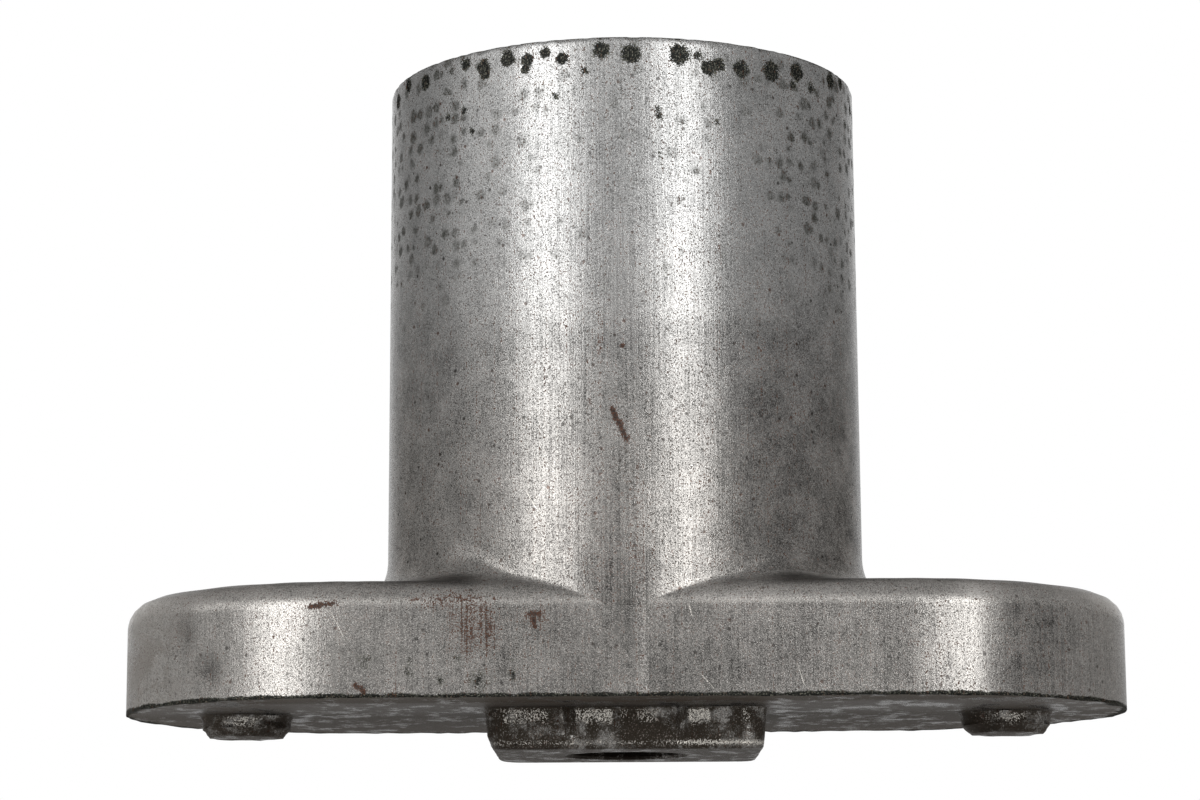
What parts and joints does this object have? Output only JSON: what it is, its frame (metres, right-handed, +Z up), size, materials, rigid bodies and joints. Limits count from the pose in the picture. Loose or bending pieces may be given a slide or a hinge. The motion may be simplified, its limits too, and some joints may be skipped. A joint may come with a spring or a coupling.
{
  "type": "mower blade adapter",
  "caption": "One-piece sintered steel blade adapter: round hub with a keyed blind bore on an oblong flange, with a pilot boss and short drive pins underneath.",
  "frame": {"origin": "centre of the pilot boss's flat bottom, on which the part stands", "axes": "+Z up along the crankshaft bore, out of its mouth; +X along the flange's length; +Y across it"},
  "size_m": [0.0874, 0.042, 0.0592],
  "materials": {
    "sintered_steel": "satin pressed and sintered steel, die-polished walls, worn, with corrosion pits and light rust"
  },
  "bodies": {
    "root": {"blade_adapter": "sintered_steel"}
  },
  "joints": []
}
